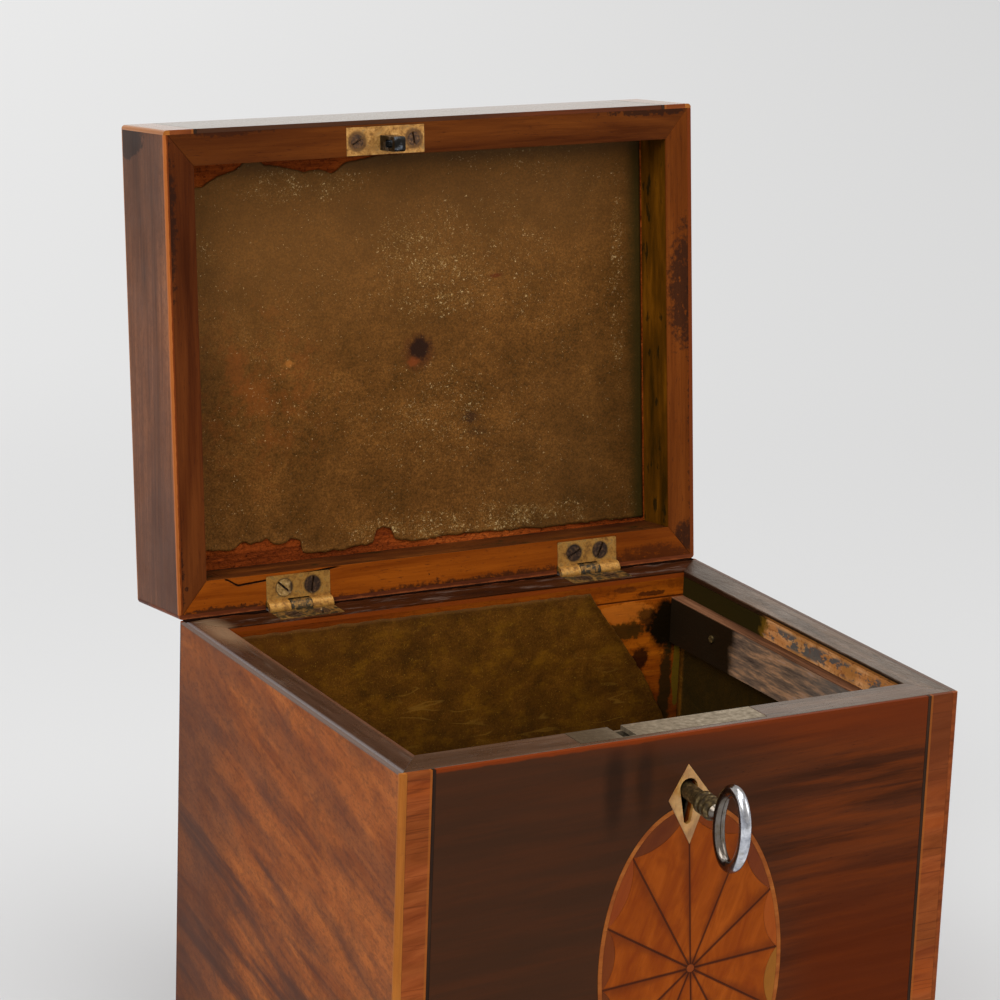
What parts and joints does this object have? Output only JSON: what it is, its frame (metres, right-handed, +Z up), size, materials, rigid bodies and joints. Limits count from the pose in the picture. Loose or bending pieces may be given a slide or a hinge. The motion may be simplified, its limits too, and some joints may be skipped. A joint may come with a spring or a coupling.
{
  "type": "antique tea caddy",
  "caption": "Small rectangular inlaid mahogany tea caddy with a hinged lid, a lock with its key, an oval fan inlay and a foil-lined inside.",
  "frame": {"origin": "middle of the underside of the case", "axes": "+Z up, +X to the right when facing the keyhole, the front looks along -Y; the lid stands open at rest"},
  "size_m": [0.157, 0.1958, 0.2514],
  "materials": {
    "carcass": "aged bare wood",
    "rim_wood": "worn and greyed",
    "lid_rail_wood": "satin, stained",
    "mahogany": "polished",
    "crossband": "polished",
    "boxwood": "polished",
    "dark_string": "polished",
    "petal_wood": "polished, scorched edges",
    "segment_wood": "polished",
    "bone": "yellowed bone",
    "foil_paper": "worn metallic paper",
    "brass": "tarnished",
    "iron": "dark, worn",
    "bronze": "dark patina",
    "steel": "bright, rubbed"
  },
  "bodies": {
    "case": {"base_board": "carcass", "front_wall": "carcass", "right_wall": "carcass", "back_wall": "carcass", "left_wall": "carcass", "left_batten": "carcass", "right_batten": "carcass", "front_capping": "rim_wood", "right_capping": "rim_wood", "back_capping": "rim_wood", "left_capping": "rim_wood", "front_veneer": "mahogany", "right_veneer": "mahogany", "back_veneer": "mahogany", "left_veneer": "mahogany", "front_crossbanding": "crossband", "front_corner_strings": "boxwood", "patera_border": "boxwood", "front_dark_strings": "dark_string", "patera_petals": "petal_wood", "patera_eye": "petal_wood", "patera_segments": "segment_wood", "escutcheon": "bone", "wall_linings": "foil_paper", "base_lining": "foil_paper", "lock_plate": "brass", "lock_cap": "brass", "hinge_case_leaves": "brass", "lock_drill_pin": "iron", "lock_stump": "iron", "lock_spring": "iron", "lock_screws": "iron", "hinge_pins": "iron", "hinge_case_screws": "iron", "batten_nails": "iron"},
    "bolt": {"lock_bolt": "iron"},
    "key": {"key_shank": "bronze", "key_bow": "steel"},
    "lid": {"lid_top_board": "carcass", "lid_front_rail": "lid_rail_wood", "lid_right_rail": "lid_rail_wood", "lid_back_rail": "lid_rail_wood", "lid_left_rail": "lid_rail_wood", "lid_top_veneer": "mahogany", "lid_front_veneer": "mahogany", "lid_right_veneer": "mahogany", "lid_back_veneer": "mahogany", "lid_left_veneer": "mahogany", "lid_front_crossbanding": "crossband", "lid_top_crossbanding": "crossband", "lid_corner_strings": "boxwood", "lid_top_strings": "boxwood", "lid_front_dark_strings": "dark_string", "lid_top_dark_strings": "dark_string", "lid_lining": "foil_paper", "hinge_lid_leaves": "brass", "link_plate": "brass", "hinge_lid_screws": "iron", "link_plate_screws": "iron", "link_staple": "iron"}
  },
  "joints": [
    {"name": "lid_hinge", "type": "hinge", "parent": "case", "child": "lid", "pos_m": [0, 0.0635, 0.12515], "axis": [1, 0, 0], "range_deg": [0, 96.2]},
    {"name": "key_turn", "type": "hinge", "parent": "case", "child": "key", "pos_m": [0, -0.056, 0.1106], "axis": [0, -0.9962, -0.0872], "range_deg": [0, 360]},
    {"name": "bolt_slide", "type": "slide", "parent": "case", "child": "bolt", "axis": [-1, 0, 0], "range_m": [0, 0.0048]}
  ],
  "couplings": [
    {"joint": "bolt_slide", "follows": "key_turn", "m_per_rad": 0.00076394}
  ]
}
